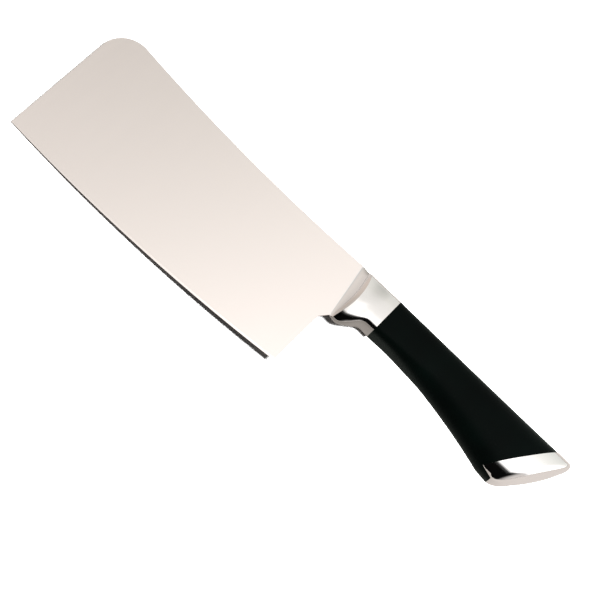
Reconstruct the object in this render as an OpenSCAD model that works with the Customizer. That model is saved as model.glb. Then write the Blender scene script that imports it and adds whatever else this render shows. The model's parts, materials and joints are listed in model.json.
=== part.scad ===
// Broad kitchen cleaver, lying on its side as it rests on a table.
// The working frame has +X from the square tip to the butt, +Y from the edge to the spine,
// and Y = 0, Z = 0 on the axis of the tang. The heel of the blade is at X = 0.

/* [Blade] */
// Blade length from the square tip to the heel
blade_len = 178; // [150:1:210]
// Blade height at the tip
tip_h = 82.5; // [72:0.1:95]
// Blade height at the heel
heel_h = 72.5; // [62:0.1:84]
// Height of the spine over the tang axis, where blade and bolster meet
spine_y = 16.6; // [15:0.1:19]
// How far the spine rises from there to the tip
spine_rise = 1.3; // [0:0.1:5]
// How far the middle of the spine dips below a straight line
spine_dip = 2.9; // [0.5:0.1:5]
// How far the middle of the edge bows out from a straight line
edge_bow = 3.8; // [1:0.1:6]
// Radius of the tip's upper corner
tip_r = 16; // [6:0.5:20]
// Height of the rounded notch above the heel
notch_h = 4.8; // [2:0.1:6]
// Blade thickness along the spine
spine_t = 1.9; // [1.6:0.1:3]
// Blade thickness just above the ground edge
edge_t = 0.45; // [0.3:0.05:0.9]
// Angle of the ground edge, each side
grind_a = 15; // [12:1:22]

/* [Blade root] */
// Height of the root that the bolster holds
root_h = 13; // [9:0.5:16]
// Thickness of the root, inside the blade's shoulders
root_t = 1.2; // [1:0.1:1.3]
// How far the root reaches behind the heel
root_x = 12; // [10:0.5:13]

/* [Bolster] */
// Bolster length from the heel to the grip
bolster_len = 25; // [23:0.5:32]
// Half thickness of the bolster at its crease
bolster_half = 7.2; // [6:0.1:8]
// Where the crease at the top of the ramp is furthest back
crease_x = 8; // [7:0.1:9.5]
// How much the crease bows forward to the spine
crease_bow = 4.2; // [2:0.1:5]
// Where the ramp leaves the blade, at the spine
ramp_spine_x = -2.3; // [-5:0.1:-1]
// Where the ramp leaves the blade, at the belly
ramp_belly_x = 3.6; // [2:0.1:4]
// How far the bolster's spine side drops as it thickens
spine_step = 0.8; // [0:0.1:1.5]
// Share of a full quarter round that the hollow of the ramp sweeps
ramp_sweep = 0.86; // [0.6:0.01:0.95]
// Depth of the bolster's belly where it leaves the blade
root_drop = 16.7; // [14.5:0.1:17.5]
// Depth of the finger guard's lowest point
guard_drop = 17.3; // [16:0.1:20]
// Where the finger guard is lowest
guard_x = 7.5; // [6.5:0.1:10]
// Where the guard's rise to the grip ends
rise_x = 19.3; // [17:0.5:22.5]
// Depth of the belly where bolster and grip meet
joint_drop = 8.2; // [6.5:0.1:9.5]

/* [Handle] */
// How much the belly still rises behind the bolster
grip_lift = 0.8; // [0:0.1:2]
// Length of that rise
lift_len = 14; // [8:1:25]
// Grip length along the belly, from bolster to cap
grip_len = 86; // [75:1:100]
// How far the belly flares down over that length
belly_flare = 12.6; // [8:0.1:15]
// How late the flare comes: 1 is a straight line, 2 curves down towards the butt
flare_power = 1.7; // [1:0.05:3]
// How far the spine side rises to the butt
butt_rise = 2.2; // [1:0.1:5]
// Half thickness of the handle at the butt
butt_half = 11; // [8.5:0.1:11.5]
// Slant of the cap's joint, away from square
joint_slant = 34.7; // [25:0.1:40]
// Thickness of the soft skin over the core
skin_t = 2.2; // [1.6:0.1:2.8]
// Bonded gap between skin and core
bond_gap = 0.05; // [0.02:0.01:0.1]

/* [End cap] */
// Cap length along the handle before its rim rounds over
cap_len = 8.3; // [6:0.1:12]
// Share of its length that the cap loses from belly to spine
cap_taper = 0.14; // [0:0.01:0.25]
// Radius of the rounded rim
rim_r = 5.6; // [3:0.1:6]
// Crown of the cap's end face
end_crown = 1.8; // [0.2:0.1:2]
// Depth of the skin's lip below the cap, where it starts
lip_start = 1.7; // [1:0.1:2.5]
// Depth of the lip where it ends
lip_end = 1; // [0.6:0.1:2]
// Length of the lip behind the joint
lip_len = 8.6; // [6:0.1:11]
// Gap at the joints that show
seam_gap = 0.06; // [0.02:0.01:0.15]

/* [Tang and fasteners] */
// Radius of the round tang
tang_r = 4; // [3:0.1:4.2]
// Radius of the tang's threaded end
thread_r = 3; // [2.5:0.5:3.5]
// Length of the threaded end
thread_len = 16; // [12:1:20]
// How far the tang is let into the bolster
tang_in = 11; // [8:0.5:11.5]
// Radial clearance of the tang in the core
tang_clear = 0.2; // [0.1:0.05:0.4]
// Radial clearance of a tight or welded seat
tight_clear = 0.02; // [0.01:0.01:0.05]
// Where the washer seats, behind the heel
seat_x = 102.5; // [96:0.5:104]
// Radius of the washer
washer_r = 6.25; // [5.5:0.05:6.5]
// Thickness of the washer
washer_t = 1.6; // [1:0.1:2]
// Size of the nut across its flats
nut_flats = 10; // [9:0.5:11]
// Height of the nut
nut_h = 5; // [4:0.5:6]
// Radius of the counterbore for washer and nut
counterbore_r = 6.75; // [6.6:0.05:7]
// Radial clearance of the cap's spigot in the counterbore
spigot_clear = 0.15; // [0.1:0.05:0.3]
// How far the spigot's end stays behind the tang's end
spigot_gap = 4; // [2:0.5:5]
// Radius of the two locating pins
pin_r = 1.75; // [1.5:0.05:2]
// Height of the upper pin over the tang axis
pin_up = 10.8; // [10.4:0.1:11]
// Depth of the lower pin below the tang axis
pin_down = 12.2; // [11:0.1:12.6]
// Depth of each pin in the core
pin_in_core = 8; // [5:0.5:10]
// Depth of each pin in the cap
pin_in_cap = 5.5; // [4:0.5:6]

/* [Hidden] */

// Number of points round the outer form and round the core
ring_n = 56;
core_n = 40;

// Plan of the blade
tip_edge = [-blade_len, spine_y + spine_rise - tip_h];
heel_edge = [0, spine_y - heel_h];
spine_start = [-blade_len + tip_r, spine_y + spine_rise];
spine_end = [ramp_spine_x, spine_y];

// A circle that passes through two points with a given bow has this radius and centre
function bow_radius(a, b, bow) = pow(norm(b - a), 2) / (8 * bow) + bow / 2;
function bow_centre(a, b, bow) =
    let (along = (b - a) / norm(b - a), up = [-along[1], along[0]])
    (a + b) / 2 + up * (bow_radius(a, b, bow) - bow);
function bow_points(a, b, bow, steps) =
    let (r = bow_radius(a, b, bow), c = bow_centre(a, b, bow),
         start = atan2(a[1] - c[1], a[0] - c[0]), end = atan2(b[1] - c[1], b[0] - c[0]))
    [for (i = [0:steps]) let (t = start + (end - start) * i / steps) c + r * [cos(t), sin(t)]];

// Half thickness of the blade's flat ground faces at a height
grind_low = min(tip_edge[1], heel_edge[1]);
grind_slope = (spine_t - edge_t) / 2 / (spine_y - grind_low);
function blade_half(y) = edge_t / 2 + grind_slope * (y - grind_low);

// Outline of bolster and handle in side view; the spine side rises over the whole run to the butt
cap_belly_x = bolster_len + grip_len;
rise_run = cap_belly_x + 24 - ramp_spine_x;
function ease(t) = (1 - cos(180 * t)) / 2;
function clamp01(t) = min(max(t, 0), 1);
function mix(a, b, t) = a + (b - a) * t;
function spine_line(x) =
    spine_y - spine_step * ease(clamp01((x - ramp_spine_x) / (crease_x - crease_bow - ramp_spine_x)))
    + butt_rise * pow(max(x - ramp_spine_x, 0) / rise_run, 2);
function guard_line(x) =
    x < guard_x ? -root_drop - (guard_drop - root_drop)
            * sin(90 * clamp01((x - ramp_belly_x) / (guard_x - ramp_belly_x)))
    : mix(-guard_drop, -joint_drop, ease(clamp01((x - guard_x) / (rise_x - guard_x))));
function flare_line(x) =
    grip_lift * ease(clamp01((x - bolster_len) / lift_len)) - joint_drop
    - belly_flare * pow(max((x - bolster_len) / grip_len, 0), flare_power);
function belly_line(x) = x < bolster_len ? guard_line(x) : flare_line(x);

// Half thickness of the section, and how square its two ends are: power 2 is round, more is squarer.
// The belly is round at the guard, squarest where bolster and grip meet, and round again in the grip
crease_power = [3.4, 2];
joint_power = 5;
butt_power = [2.5, 2.2];
square_x = [12, 21];
round_run = grip_len / 2.2;
function half_line(x) = mix(bolster_half, butt_half, clamp01((x - crease_x) / (cap_belly_x - crease_x)));
function spine_power(x) =
    mix(crease_power[0], butt_power[0], clamp01((x - crease_x) / (cap_belly_x - crease_x)));
function belly_power(x) =
    x < bolster_len
    ? mix(crease_power[1], joint_power, ease(clamp01((x - square_x[0]) / (square_x[1] - square_x[0]))))
    : mix(joint_power, butt_power[1], clamp01((x - bolster_len) / round_run));

// Lines across the handle, as X at a height
function ramp_start(y) = mix(ramp_spine_x, ramp_belly_x, (spine_y - y) / (spine_y + root_drop));
function crease_line(y) = crease_x - crease_bow * pow((y + 2) / (spine_y + 2), 2);
joint_tan = tan(joint_slant);
joint_y = flare_line(cap_belly_x);
function joint_line(y) = cap_belly_x + (y - joint_y) * joint_tan;

// One point of a section: angle, spine, belly, half thickness, powers of the two ends
function signed_power(v, p) = sign(v) * pow(abs(v), p);
function section_point(t, top, low, half, p_top, p_low) =
    let (p = cos(t) >= 0 ? p_top : p_low, mid = (top + low) / 2, reach = (top - low) / 2)
    [mid + reach * signed_power(cos(t), 2 / p), half * signed_power(sin(t), 2 / p)];
function section(x_top, x_low, x_mid, n, inset = 0) =
    [for (i = [0:n - 1]) section_point(360 * i / n, spine_line(x_top) - inset,
        belly_line(x_low) + inset, half_line(x_mid) - inset, spine_power(x_mid), belly_power(x_mid))];

// Skin over rings of points that all have the same count
module skin_over(rings) {
    n = len(rings[0]);
    last = len(rings) - 1;
    points = [for (ring = rings) for (p = ring) p];
    sides = [for (k = [0:last - 1]) for (i = [0:n - 1]) let (j = (i + 1) % n)
        each [[k * n + i, (k + 1) * n + i, k * n + j], [k * n + j, (k + 1) * n + i, (k + 1) * n + j]]];
    front = [for (i = [0:n - 1]) i];
    back = [for (i = [n - 1:-1:0]) last * n + i];
    polyhedron(points, concat([front], sides, [back]));
}

// Bolster: the hollow ramp that climbs from the blade, then the body as far as the grip
ramp_steps = 9;
body_steps = 14;
function ramp_climb(u) = (1 - sqrt(1 - pow(ramp_sweep * u, 2))) / (1 - sqrt(1 - pow(ramp_sweep, 2)));
function ramp_ring(u) =
    let (x_low = mix(ramp_belly_x, crease_line(-guard_drop), u),
         x_top = mix(ramp_spine_x, crease_line(spine_y), u),
         full = section(x_top, x_low, crease_x, ring_n))
    [for (p = full) [mix(ramp_start(p[0]), crease_line(p[0]), u), p[0],
        mix(sign(p[1]) * blade_half(p[0]), p[1], ramp_climb(u))]];
function body_ring(u) =
    let (x_low = mix(crease_line(-guard_drop), bolster_len, u),
         x_top = mix(crease_line(spine_y), bolster_len, u),
         full = section(x_top, x_low, mix(crease_x, bolster_len, u), ring_n))
    [for (p = full) [mix(crease_line(p[0]), bolster_len, u), p[0], p[1]]];
bolster_rings = concat([for (k = [0:ramp_steps]) ramp_ring(k / ramp_steps)],
    [for (k = [1:body_steps]) body_ring(k / body_steps)]);

// Handle: from the bolster to the slanted joint, then the cap with its rounded rim and crown
grip_steps = 18;
rim_steps = 7;
crown_steps = 3;
function grip_ring(u, n, inset, start) =
    let (x_low = mix(start, cap_belly_x, u), x_top = mix(start, joint_line(spine_y), u),
         full = section(x_top, x_low, mix(start, joint_line(0), u), n, inset))
    [for (p = full) [mix(start, joint_line(p[0]), u), p[0], p[1]]];
cap_high = spine_line(joint_line(spine_y) + cap_len);
cap_low = flare_line(cap_belly_x + 3);
function cap_section(inset) =
    [for (i = [0:ring_n - 1]) section_point(360 * i / ring_n, cap_high - inset, cap_low + inset,
        butt_half - inset, spine_power(cap_belly_x), belly_power(cap_belly_x))];
function cap_back(y, back) =
    joint_line(y) + back * (1 - cap_taper * (y - joint_y) / (spine_y - joint_y));
function cap_ring(back, inset) =
    [for (p = cap_section(inset)) [cap_back(p[0], back), p[0], p[1]]];
function crown_ring(q) =
    let (rim = cap_ring(cap_len + rim_r, rim_r), mid = (joint_y + spine_y) / 2,
         centre = [cap_back(mid, cap_len + rim_r), mid, 0])
    [for (p = rim) mix(centre, p, q) + [end_crown * (1 - q * q), 0, 0]];
rear_rings = concat([cap_ring(cap_len, 0)],
    [for (k = [1:rim_steps]) let (t = 90 * k / rim_steps)
        cap_ring(cap_len + rim_r * sin(t), rim_r * (1 - cos(t)))],
    [for (k = [1:crown_steps]) crown_ring(1 - 0.6 * k / crown_steps)]);
handle_rings = concat([for (k = [0:grip_steps]) grip_ring(k / grip_steps, ring_n, 0, bolster_len)],
    rear_rings);
cap_rings = concat([cap_ring(seam_gap, 0)], rear_rings);
core_rings = [for (k = [0:grip_steps]) grip_ring(k / grip_steps, core_n, skin_t, bolster_len)];

// How the knife lies: on the side of bolster and butt, with the thin blade just clear of the table,
// unless the tip reaches the table first
tip_y = spine_y + spine_rise - tip_r;
tip_points = [for (side = [-1, 1]) [-blade_len, tip_y, side * blade_half(tip_y)]];
handle_points = [for (ring = handle_rings) for (p = ring) p];
all_points = concat(tip_points, [for (ring = bolster_rings) for (p = ring) p], handle_points);
function lean(from) = max([for (p = handle_points) if (p[0] > from[0] + 1)
    atan2(from[2] - p[2], p[0] - from[0])]);
pitch = min(lean([crease_x, 0, -bolster_half]), lean(tip_points[0]));
function pitched(p) = [p[0] * cos(pitch) - p[2] * sin(pitch), p[1], p[0] * sin(pitch) + p[2] * cos(pitch)];
pitched_points = [for (p = all_points) pitched(p)];
mid_x = (min([for (p = pitched_points) p[0]]) + max([for (p = pitched_points) p[0]])) / 2;
low_y = bow_centre(tip_edge, heel_edge, edge_bow)[1] - bow_radius(tip_edge, heel_edge, edge_bow);
mid_y = (low_y + max([for (p = pitched_points) p[1]])) / 2;
lift = -min([for (p = pitched_points) p[2]]);
module lying() {
    translate([-mid_x, -mid_y, lift]) rotate([0, -pitch, 0]) children();
}

// A round bar along X, from one place to another
module bar(from, to, r, y = 0, sides = 64) {
    translate([from, y, 0]) rotate([0, 90, 0]) cylinder(h = to - from, r = r, $fn = sides);
}

// The blade's flat plan behind the tip, above the edge
module blade_plan() {
    deep = grind_low - 2 * edge_bow;
    difference() {
        polygon(concat(
            bow_points(spine_start, spine_end, spine_dip, 40),
            [[ramp_belly_x, -root_drop], [0, -root_drop - notch_h], [0, deep], [-blade_len, deep],
             [-blade_len, spine_start[1]]]));
        translate(spine_start - [0, tip_r]) difference() {
            translate([-tip_r - 1, 0]) square([tip_r + 1, tip_r + 1]);
            circle(tip_r, $fn = 96);
        }
    }
    // The rounded inner corner of the notch
    translate([0, -root_drop - notch_h]) difference() {
        square([ramp_belly_x, notch_h]);
        translate([ramp_belly_x, 0]) scale([ramp_belly_x, notch_h]) circle(1, $fn = 64);
    }
}

// The root behind the blade's shoulders, or the slot that it fits with some room on each side
module root_block(room) {
    start = ramp_start(root_h / 2) - 2;
    translate([start, -root_h / 2 - room, -root_t / 2 - room])
        cube([root_x + room - start, root_h + 2 * room, root_t + 2 * room]);
}

// The wedge between the two flat ground faces
module ground_wedge() {
    high = spine_y + spine_rise + 5;
    low = grind_low - 10;
    translate([-blade_len - 5, 0, 0]) rotate([90, 0, 90]) linear_extrude(blade_len + 20)
        polygon([[low, blade_half(low)], [high, blade_half(high)],
            [high, -blade_half(high)], [low, -blade_half(low)]]);
}

// Two cones back to back, whose shared rim is the bowed cutting edge
module edge_cones() {
    r = bow_radius(tip_edge, heel_edge, edge_bow);
    c = bow_centre(tip_edge, heel_edge, edge_bow);
    for (side = [0, 1]) translate([c[0], c[1], 0]) mirror([0, 0, side])
        cylinder(h = spine_t, r1 = r, r2 = r - spine_t / tan(grind_a), $fn = 1440);
}

module blade() {
    color("gainsboro") lying() {
        intersection() {
            linear_extrude(2 * spine_t, center = true) blade_plan();
            ground_wedge();
            edge_cones();
        }
        root_block(0);
    }
}

module bolster() {
    color("silver") lying() difference() {
        skin_over(bolster_rings);
        root_block(tight_clear);
        bar(bolster_len - tang_in, bolster_len + 1, tang_r + tight_clear);
    }
}

tang_end = seat_x + washer_t + nut_h + 3;
module tang() {
    start = bolster_len - tang_in;
    color("darkgray") lying() rotate([0, 90, 0]) rotate_extrude($fn = 64) polygon([
        [0, start], [tang_r - 0.5, start], [tang_r, start + 0.5], [tang_r, tang_end - thread_len],
        [thread_r, tang_end - thread_len + 0.5], [thread_r, tang_end - 0.6], [thread_r - 0.6, tang_end],
        [0, tang_end]]);
}

// Each pin: its height, and where it starts and ends
pin_list = [for (y = [pin_up, -pin_down]) [y, joint_line(y) - pin_in_core, joint_line(y) + pin_in_cap]];
module pin_shapes(room) {
    for (pin = pin_list) bar(pin[1] - room, pin[2] + room, pin_r + room, pin[0], 48);
}

module handle_core() {
    color("dimgray") lying() difference() {
        skin_over(core_rings);
        bar(bolster_len - 1, seat_x + 1, tang_r + tang_clear);
        bar(seat_x, joint_line(spine_y), counterbore_r);
        pin_shapes(tight_clear);
    }
}

// The skin's lip runs on below the cap, from the slanted joint to here
lip_x = cap_belly_x + lip_len;
lip_from = [joint_line(joint_y + lip_start), joint_y + lip_start];
lip_to = [lip_x, cap_low + lip_end];

// Room for the cap behind the slanted joint, above the lip
module cap_room() {
    high = spine_y + butt_rise + 10;
    far = joint_line(high) + 40;
    linear_extrude(4 * butt_half, center = true)
        polygon([[joint_line(high), high], lip_from, lip_to, lip_to + [0.5, -15],
            [far, lip_to[1] - 15], [far, high]]);
}

// Room for the lip at the cap's belly
module lip_room(gap) {
    linear_extrude(4 * butt_half, center = true) translate([gap, gap])
        polygon([lip_from - 10 * (lip_to - lip_from), lip_to, lip_to + [0.5, -15],
            lip_from + [-20, -15]]);
}

module grip_skin() {
    color([0.07, 0.08, 0.08]) lying() difference() {
        skin_over(handle_rings);
        cap_room();
        core_room();
    }
}

// The core's own form, grown by the bonded gap
module core_room() {
    skin_over([for (k = [0:grip_steps]) [for (p = grip_ring(k / grip_steps, core_n,
        skin_t - bond_gap, bolster_len)) p + [k == 0 ? -1 : k == grip_steps ? 1 : 0, 0, 0]]]);
}

module washer() {
    color("lightgray") lying() difference() {
        bar(seat_x, seat_x + washer_t, washer_r);
        bar(seat_x - 1, seat_x + washer_t + 1, thread_r + tang_clear);
    }
}

module tang_nut() {
    start = seat_x + washer_t;
    corner = nut_flats / 2 / cos(30);
    color("lightgray") lying() difference() {
        intersection() {
            bar(start, start + nut_h, corner, 0, 6);
            translate([start, 0, 0]) rotate([0, 90, 0])
                cylinder(h = nut_h, r1 = corner + nut_h - 0.4, r2 = corner - 0.4, $fn = 64);
        }
        bar(start - 1, start + nut_h + 1, thread_r + tight_clear);
    }
}

module end_cap() {
    color("silver") lying() difference() {
        union() {
            difference() {
                skin_over(cap_rings);
                lip_room(seam_gap);
            }
            bar(tang_end + spigot_gap, joint_line(0) + counterbore_r, counterbore_r - spigot_clear);
        }
        pin_shapes(tight_clear);
    }
}

module cap_pins() {
    color("darkgray") lying() pin_shapes(0);
}

blade();
bolster();
tang();
handle_core();
grip_skin();
washer();
tang_nut();
end_cap();
cap_pins();
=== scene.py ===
# A broad kitchen cleaver lying on its side on white paper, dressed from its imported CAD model.
# Settings are in millimetres and degrees unless a note says otherwise.

import json
import math

import bmesh
import bpy
from mathutils import Matrix, Vector


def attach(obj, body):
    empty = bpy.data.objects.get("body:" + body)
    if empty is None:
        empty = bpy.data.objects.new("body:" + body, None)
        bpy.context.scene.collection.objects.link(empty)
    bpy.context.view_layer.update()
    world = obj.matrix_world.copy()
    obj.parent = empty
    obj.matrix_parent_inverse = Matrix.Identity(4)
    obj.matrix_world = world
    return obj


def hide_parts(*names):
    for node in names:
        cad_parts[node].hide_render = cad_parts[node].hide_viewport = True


mm = 0.001
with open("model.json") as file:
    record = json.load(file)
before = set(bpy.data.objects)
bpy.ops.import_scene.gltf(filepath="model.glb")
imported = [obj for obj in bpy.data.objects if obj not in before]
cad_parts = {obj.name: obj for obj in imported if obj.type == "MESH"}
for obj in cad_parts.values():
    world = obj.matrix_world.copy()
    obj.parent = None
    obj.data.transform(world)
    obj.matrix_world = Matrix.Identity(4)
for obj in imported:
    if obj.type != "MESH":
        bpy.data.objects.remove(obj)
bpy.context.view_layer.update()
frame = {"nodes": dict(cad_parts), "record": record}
nodes = frame["nodes"]
scene = bpy.context.scene
scene.view_settings.view_transform = "Standard"
print("cleaver: packed frame loaded,", len(nodes), "nodes")


# the camera is square to the knife, above its edge side, turned so that the knife runs down to the right
cameraPlan = {
    "aim": (3.22, 4.43, 0.0),
    "away": 997.0,
    "elevation": 65.0,
    "turn": 45.6,
    "focal": 116.7,
    "sensor": 36.0,
    "clip": (50.0, 50000.0),
}


def placeCamera(plan):
    low, turned = math.radians(plan["elevation"]), math.radians(plan["turn"])
    ahead = Vector((0, math.cos(low), -math.sin(low)))
    level = Vector((0, math.sin(low), math.cos(low)))
    right = Vector((math.cos(turned), 0, 0)) + math.sin(turned) * level
    up = Vector((-math.sin(turned), 0, 0)) + math.cos(turned) * level
    lens = bpy.data.cameras.new("pictureCamera")
    lens.lens = plan["focal"]
    lens.sensor_width = plan["sensor"]
    lens.clip_start, lens.clip_end = (end * mm for end in plan["clip"])
    camera = bpy.data.objects.new("pictureCamera", lens)
    turnedBasis = Matrix((right, up, -ahead)).transposed().to_4x4()
    place = (Vector(plan["aim"]) - plan["away"] * ahead) * mm
    camera.matrix_world = Matrix.Translation(place) @ turnedBasis
    scene.collection.objects.link(camera)
    return camera


scene.camera = placeCamera(cameraPlan)
print("cleaver: camera placed")


mixFrom, mixTo, mixResult = 6, 7, 2  # a mix node's two colour inputs and its colour output, by number


def linearColour(hexText):
    # an sRGB hex value, such as "d8d4d0", as linear red, green, blue and alpha
    parts = [int(hexText[i:i + 2], 16) / 255 for i in (0, 2, 4)]
    return tuple(p / 12.92 if p <= 0.04045 else ((p + 0.055) / 1.055) ** 2.4 for p in parts) + (1.0,)


def addNode(tree, kind, settings=None, values=None, links=None):
    # settings are the node's own, values go on its sockets, links bring other nodes' outputs
    made = tree.nodes.new(kind)
    for name, value in (settings or {}).items():
        setattr(made, name, value)
    for name, value in (values or {}).items():
        made.inputs[name].default_value = value
    for name, source in (links or {}).items():
        tree.links.new(source, made.inputs[name])
    return made


def newMaterial(name):
    material = bpy.data.materials.new(name)
    material.use_nodes = True
    tree = material.node_tree
    shader = tree.nodes["Principled BSDF"]
    place = addNode(tree, "ShaderNodeTexCoord").outputs["Object"]
    return material, tree, shader, place


satinSteel = {
    "colour": "f4ece7",
    "roughness": 0.2,
    "lineWidth": 0.9,  # real belt lines are about 0.05 mm, drawn coarser so that they show at all
    "lineLength": 45.0,
    "lineHeight": 5.0,
    "lineDetail": 4.0,
    "lineBreakup": 0.6,
    "lineContrast": (0.3, 0.7),
    "glossChange": 0.02,
    "bumpStrength": 0.008,
    "bumpHeight": 0.1,
}


def makeSatinSteel(plan):
    # stainless knife steel, belt ground from spine to edge and then buffed: broad soft reflections
    # with a hint of lines across the blade
    material, tree, shader, place = newMaterial("satinGroundStainless")
    stretch = [1 / (plan[side] * mm) for side in ("lineWidth", "lineLength", "lineHeight")]
    along = addNode(tree, "ShaderNodeMapping", links={"Vector": place}, values={"Scale": stretch})
    lines = addNode(tree, "ShaderNodeTexNoise", links={"Vector": along.outputs["Vector"]}, values={
        "Scale": 1.0, "Detail": plan["lineDetail"], "Roughness": plan["lineBreakup"]})
    low, high = plan["lineContrast"]
    gloss = addNode(tree, "ShaderNodeMapRange", links={"Value": lines.outputs["Fac"]}, values={
        "From Min": low, "From Max": high, "To Min": plan["roughness"] - plan["glossChange"],
        "To Max": plan["roughness"] + plan["glossChange"]})
    dents = addNode(tree, "ShaderNodeBump", links={"Height": lines.outputs["Fac"]},
                    values={"Strength": plan["bumpStrength"], "Distance": plan["bumpHeight"] * mm})
    shader.inputs["Base Color"].default_value = linearColour(plan["colour"])
    shader.inputs["Metallic"].default_value = 1.0
    tree.links.new(gloss.outputs["Result"], shader.inputs["Roughness"])
    tree.links.new(dents.outputs["Normal"], shader.inputs["Normal"])
    return material


polishedSteel = {
    "colour": "f8f5f3",
    "roughness": 0.06,
    "haze": 0.03,
    "hazeSize": 6.0,
    "hazeDetail": 3.0,
    "hazeContrast": (0.35, 0.7),
}


def makePolishedSteel(plan):
    # forged stainless steel, mirror polished on a wheel: crisp reflections with patches of faint haze
    material, tree, shader, place = newMaterial("mirrorPolishedStainless")
    cloud = addNode(tree, "ShaderNodeTexNoise", links={"Vector": place},
                    values={"Scale": 1 / (plan["hazeSize"] * mm), "Detail": plan["hazeDetail"]})
    low, high = plan["hazeContrast"]
    gloss = addNode(tree, "ShaderNodeMapRange", links={"Value": cloud.outputs["Fac"]}, values={
        "From Min": low, "From Max": high, "To Min": plan["roughness"],
        "To Max": plan["roughness"] + plan["haze"]})
    shader.inputs["Base Color"].default_value = linearColour(plan["colour"])
    shader.inputs["Metallic"].default_value = 1.0
    tree.links.new(gloss.outputs["Result"], shader.inputs["Roughness"])
    return material


turnedSteel = {
    "colour": "a9a7a4",
    "roughness": 0.35,
    "ringPitch": 1.885,  # a real lathe leaves about 0.2 mm, drawn coarser so that the rings show at all
    "ringWaver": 0.4,
    "ringDetail": 2.0,
    "waveTurn": 20.0,  # radians that a wave texture of scale 1 goes through in one unit
    "bumpStrength": 0.3,
    "bumpHeight": 0.05,
}


def makeTurnedSteel(plan):
    # plain steel bar turned on a lathe: fine rings round the tang's axis
    material, tree, shader, place = newMaterial("turnedPlainSteel")
    rings = addNode(tree, "ShaderNodeTexWave", {"wave_type": "BANDS", "bands_direction": "X"}, {
        "Scale": 2 * math.pi / (plan["waveTurn"] * plan["ringPitch"] * mm),
        "Distortion": plan["ringWaver"], "Detail": plan["ringDetail"]}, {"Vector": place})
    cuts = addNode(tree, "ShaderNodeBump", links={"Height": rings.outputs["Fac"]},
                   values={"Strength": plan["bumpStrength"], "Distance": plan["bumpHeight"] * mm})
    shader.inputs["Base Color"].default_value = linearColour(plan["colour"])
    shader.inputs["Metallic"].default_value = 1.0
    shader.inputs["Roughness"].default_value = plan["roughness"]
    tree.links.new(cuts.outputs["Normal"], shader.inputs["Normal"])
    return material


coreNylon = {
    "colour": "1c1d1d",
    "roughness": 0.55,
    "mottleSize": 0.4,
    "mottleDetail": 3.0,
    "bumpStrength": 0.3,
    "bumpHeight": 0.05,
}


def makeCoreNylon(plan):
    # glass-filled nylon, injection moulded: matt, with the fine mottle that the fibres leave
    material, tree, shader, place = newMaterial("mouldedFilledNylon")
    mottle = addNode(tree, "ShaderNodeTexNoise", links={"Vector": place},
                     values={"Scale": 1 / (plan["mottleSize"] * mm), "Detail": plan["mottleDetail"]})
    bumps = addNode(tree, "ShaderNodeBump", links={"Height": mottle.outputs["Fac"]},
                    values={"Strength": plan["bumpStrength"], "Distance": plan["bumpHeight"] * mm})
    shader.inputs["Base Color"].default_value = linearColour(plan["colour"])
    shader.inputs["Roughness"].default_value = plan["roughness"]
    tree.links.new(bumps.outputs["Normal"], shader.inputs["Normal"])
    return material


gripTpe = {
    "dark": "010101",
    "light": "020504",
    "patchSize": 22.0,
    "patchDetail": 2.0,
    "roughness": 0.34,
    "specular": 0.03,
    "bloom": 0.26,
    "bloomSpread": 0.3,
    "bloomColour": "b8d0c0",
    "grainSize": 0.35,
    "grainDetail": 2.0,
    "bumpStrength": 0.12,
    "bumpHeight": 0.02,
}


def makeGripTpe(plan):
    # thermoplastic elastomer moulded over the core: near black, smooth, with a soft greenish sheen
    material, tree, shader, place = newMaterial("mouldedSoftTpe")
    patches = addNode(tree, "ShaderNodeTexNoise", links={"Vector": place},
                      values={"Scale": 1 / (plan["patchSize"] * mm), "Detail": plan["patchDetail"]})
    shade = addNode(tree, "ShaderNodeMix", {"data_type": "RGBA"}, {
        mixFrom: linearColour(plan["dark"]), mixTo: linearColour(plan["light"])},
        {"Factor": patches.outputs["Fac"]})
    skin = addNode(tree, "ShaderNodeTexNoise", links={"Vector": place},
                   values={"Scale": 1 / (plan["grainSize"] * mm), "Detail": plan["grainDetail"]})
    bumps = addNode(tree, "ShaderNodeBump", links={"Height": skin.outputs["Fac"]},
                    values={"Strength": plan["bumpStrength"], "Distance": plan["bumpHeight"] * mm})
    tree.links.new(shade.outputs[mixResult], shader.inputs["Base Color"])
    shader.inputs["Roughness"].default_value = plan["roughness"]
    shader.inputs["Specular IOR Level"].default_value = plan["specular"]
    shader.inputs["Sheen Weight"].default_value = plan["bloom"]
    shader.inputs["Sheen Roughness"].default_value = plan["bloomSpread"]
    shader.inputs["Sheen Tint"].default_value = linearColour(plan["bloomColour"])
    tree.links.new(bumps.outputs["Normal"], shader.inputs["Normal"])
    return material


finishes = {
    "blade_steel": makeSatinSteel(satinSteel),
    "polished_steel": makePolishedSteel(polishedSteel),
    "plain_steel": makeTurnedSteel(turnedSteel),
    "core_plastic": makeCoreNylon(coreNylon),
    "grip_rubber": makeGripTpe(gripTpe),
}
nodeFinish = {part["node"]: part["material_slot"] for part in frame["record"]["subparts"]}
for name, slotName in nodeFinish.items():
    for slot in nodes[name].material_slots:
        slot.material = finishes[slotName]
print("cleaver: materials made")


# bolster, cap and grip are shown by smooth copies; crease is the angle from which an edge stays sharp
smoothCopies = {
    "bolster": {"piece": "polishedBolster", "crease": 24.0},
    "end_cap": {"piece": "polishedCap", "crease": 40.0},
    "grip_skin": {"piece": "softGrip", "crease": 40.0},
}
smoothing = {
    "merge": 0.002,  # points closer than this become one
    "reach": 0.02,  # how far from the blade's side a corner still counts as lying on it
    "facing": 0.9,  # the cosine between the blade's side and a face that runs out into it, at least
}


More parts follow.
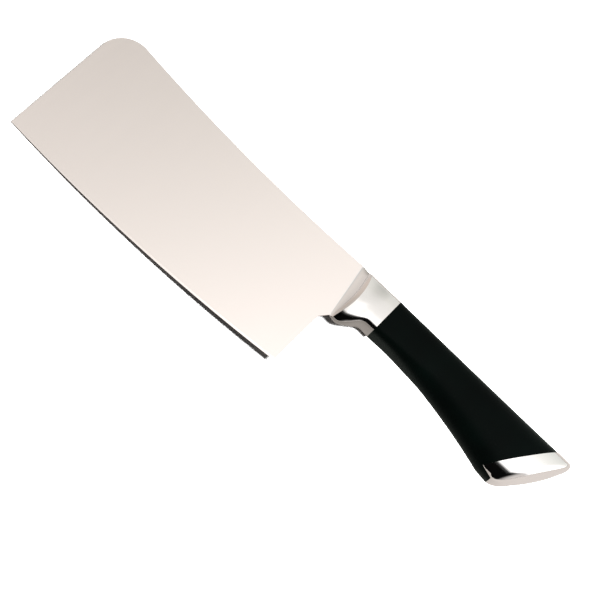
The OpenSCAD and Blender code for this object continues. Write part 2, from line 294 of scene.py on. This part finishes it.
def easeIntoBlade(mesh):
    # where a piece runs out into the blade's flat side, which is the part's mount, it takes the side's
    # direction, so that the light runs on from one to the other
    bladeSide = frame["record"]["mounts"][0]
    point, normal = Vector(bladeSide["pos_m"]), Vector(bladeSide["axis"])
    turned = [tuple(corner.vector) for corner in mesh.corner_normals]
    for face in mesh.polygons:
        if face.normal.dot(normal) < smoothing["facing"]:
            continue
        for loop in face.loop_indices:
            away = (mesh.vertices[mesh.loops[loop].vertex_index].co - point).dot(normal)
            if abs(away) < smoothing["reach"] * mm:
                turned[loop] = tuple(normal)
    mesh.normals_split_custom_set(turned)


def makeSmoothCopy(nodeName, pieceName, crease):
    # the node's own form with merged points, smooth across its small facets and sharp at real edges
    form = bmesh.new()
    form.from_mesh(nodes[nodeName].data)
    bmesh.ops.remove_doubles(form, verts=form.verts, dist=smoothing["merge"] * mm)
    for face in form.faces:
        face.smooth = True
    for edge in form.edges:
        edge.smooth = edge.is_manifold and edge.calc_face_angle(0) < math.radians(crease)
    mesh = bpy.data.meshes.new(pieceName)
    form.to_mesh(mesh)
    form.free()
    easeIntoBlade(mesh)
    mesh.materials.clear()
    mesh.materials.append(finishes[nodeFinish[nodeName]])
    piece = bpy.data.objects.new(pieceName, mesh)
    scene.collection.objects.link(piece)
    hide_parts(nodeName)
    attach(piece, "root")


for nodeName, plan in smoothCopies.items():
    makeSmoothCopy(nodeName, plan["piece"], plan["crease"])
print("cleaver: bolster, cap and grip smoothed")


paperSheet = {
    "size": 9000.0,
    "colour": "f4f4f4",
    "roughness": 0.9,
    "paintedShadowSpot": (40, -60, 0),  # the spot that the finger guard mirrors, where the painted shadow in the mirrored paper is darkest
    "fade": (45, 150),  # how far from there the painted shadow in the mirrored paper starts and ends to get lighter
    # painted shade: the greys that steel sees in the paper, near the guard's spot and far from it; to the
    # camera the paper stays white
    "paintedShadeNear": "4f4c49",
    "far": "7f7b78",
}


def makePaper(plan):
    # uncoated white paper, far larger than the picture: flat white to the camera, with painted grey shade
    # where steel mirrors it, darkest round the guard's spot as a painted shadow of the knife
    half = plan["size"] / 2 * mm
    mesh = bpy.data.meshes.new("paperFloor")
    mesh.from_pydata([(-half, -half, 0), (half, -half, 0), (half, half, 0), (-half, half, 0)], [],
                     [(0, 1, 2, 3)])
    material, tree, shader, place = newMaterial("uncoatedWhitePaper")
    # painted shadow: the distance from the guard's spot sets how dark the mirrored paper is
    apart = addNode(tree, "ShaderNodeVectorMath", {"operation": "DISTANCE"},
                    {1: Vector(plan["paintedShadowSpot"]) * mm}, {0: place})
    low, high = (distance * mm for distance in plan["fade"])
    spread = addNode(tree, "ShaderNodeMapRange", {"interpolation_type": "SMOOTHSTEP"}, {
        "From Min": low, "From Max": high}, {"Value": apart.outputs["Value"]})
    paintedMirrorShade = addNode(tree, "ShaderNodeMix", {"data_type": "RGBA"}, {
        mixFrom: linearColour(plan["paintedShadeNear"]), mixTo: linearColour(plan["far"])},
        {"Factor": spread.outputs["Result"]})
    # glossy rays get the painted grey shade instead of the white paper
    mirrored = addNode(tree, "ShaderNodeLightPath").outputs["Is Glossy Ray"]
    shade = addNode(tree, "ShaderNodeMix", {"data_type": "RGBA"}, {
        mixFrom: linearColour(plan["colour"])}, {"Factor": mirrored, mixTo: paintedMirrorShade.outputs[mixResult]})
    tree.links.new(shade.outputs[mixResult], shader.inputs["Base Color"])
    shader.inputs["Roughness"].default_value = plan["roughness"]
    shader.inputs["Specular IOR Level"].default_value = 0.0
    mesh.materials.append(material)
    floor = bpy.data.objects.new("paperFloor", mesh)
    scene.collection.objects.link(floor)


makePaper(paperSheet)
print("cleaver: paper laid")


keyPanel = {
    "place": (330, 50, 1100),
    "size": (300, 540),
    "power": 45.0,  # watts
    "blockers": ("blade", "polishedBolster"),
}


def makeKey(plan):
    # one large panel above the grip, turned to the knife and out of the steel's reflections; only its
    # blockers throw its shadow, and the rest stands on paper that is lit all round
    lamp = bpy.data.lights.new("keyLight", "AREA")
    lamp.shape = "RECTANGLE"
    lamp.size, lamp.size_y = (side * mm for side in plan["size"])
    lamp.energy = plan["power"]
    key = bpy.data.objects.new("keyLight", lamp)
    key.location = Vector(plan["place"]) * mm
    key.rotation_mode = "QUATERNION"
    key.rotation_quaternion = key.location.to_track_quat("Z", "Y")
    key.visible_glossy = False
    scene.collection.objects.link(key)
    blockers = bpy.data.collections.new("keyBlockers")
    for name in plan["blockers"]:
        blockers.objects.link(bpy.data.objects[name])
    key.light_linking.blocker_collection = blockers


makeKey(keyPanel)
print("cleaver: key light hung")


# across goes from the tip's side to the butt's, behind from the camera's side to the spine's: each
# stop is a place from 0 to 1, with straight up at 0.5, and its grey
softStudio = {
    "gain": 1.7,
    "fill": 0.06,  # the strength of the even light that paper and grip get
    "backdrop": "ffffff",  # what the camera sees past the paper, and the colour of the even light
    "across": [(0.0, "aca7a3"), (0.25, "bdb8b3"), (0.39, "c0bebc"), (0.44, "dad9d7"), (0.485, "fbf9f8"),
               (0.52, "ffffff"), (1.0, "ffffff")],
    "behind": [(0.0, "050505"), (0.28, "050505"), (0.34, "3a3a3a"), (0.41, "f6f6f6"), (0.5, "ffffff"),
               (0.66, "fafafa"), (0.72, "d8d8d7"), (0.8, "c9cac7"), (1.0, "b4b6b3")],
    "walls": (0.5, 0.9),  # how far out to either side the walls begin, and where they are full
    "wallColour": "a8a4a2",
}


def makeStudio(plan):
    # what the steel mirrors: bright overhead, darker to the tip, and a dark room low behind the camera
    # between two grey walls; paper and grip get only a little even fill from it
    world = bpy.data.worlds.new("softStudio")
    scene.world = world
    world.use_nodes = True
    tree = world.node_tree
    sky = tree.nodes["Background"]
    where = addNode(tree, "ShaderNodeSeparateXYZ",
                    links={"Vector": addNode(tree, "ShaderNodeTexCoord").outputs["Generated"]})
    bands = []
    for axis, points in (("X", plan["across"]), ("Y", plan["behind"])):
        along = addNode(tree, "ShaderNodeMapRange", links={"Value": where.outputs[axis]},
                        values={"From Min": -1.0})
        band = addNode(tree, "ShaderNodeValToRGB", links={"Fac": along.outputs["Result"]})
        ramp = band.color_ramp.elements
        ramp.remove(ramp[-1])
        ramp[0].color = linearColour(points[0][1])
        for position, hexText in points[1:]:
            ramp.new(position).color = linearColour(hexText)
        bands.append(band.outputs["Color"])
    low, high = plan["walls"]
    aside = addNode(tree, "ShaderNodeMath", {"operation": "ABSOLUTE"}, links={"Value": where.outputs["X"]})
    wallShare = addNode(tree, "ShaderNodeMapRange", {"interpolation_type": "SMOOTHSTEP"}, {
        "From Min": low, "From Max": high}, {"Value": aside.outputs["Value"]})
    walled = addNode(tree, "ShaderNodeMix", {"data_type": "RGBA", "blend_type": "LIGHTEN"}, {
        mixTo: linearColour(plan["wallColour"])}, {"Factor": wallShare.outputs["Result"], mixFrom: bands[1]})
    both = addNode(tree, "ShaderNodeMix", {"data_type": "RGBA", "blend_type": "MULTIPLY"}, {
        "Factor": 1.0}, {mixFrom: bands[0], mixTo: walled.outputs[mixResult]})
    tree.links.new(both.outputs[mixResult], sky.inputs["Color"])
    sky.inputs["Strength"].default_value = plan["gain"]
    even = addNode(tree, "ShaderNodeBackground", values={
        "Color": linearColour(plan["backdrop"]), "Strength": plan["fill"]})
    backdrop = addNode(tree, "ShaderNodeBackground", values={"Color": linearColour(plan["backdrop"])})
    path = addNode(tree, "ShaderNodeLightPath")
    lit = addNode(tree, "ShaderNodeMixShader", links={
        "Fac": path.outputs["Is Diffuse Ray"], 1: sky.outputs["Background"], 2: even.outputs["Background"]})
    choice = addNode(tree, "ShaderNodeMixShader", links={
        "Fac": path.outputs["Is Camera Ray"], 1: lit.outputs["Shader"], 2: backdrop.outputs["Background"]})
    tree.links.new(choice.outputs["Shader"], tree.nodes["World Output"].inputs["Surface"])


makeStudio(softStudio)
print("cleaver: studio lit")
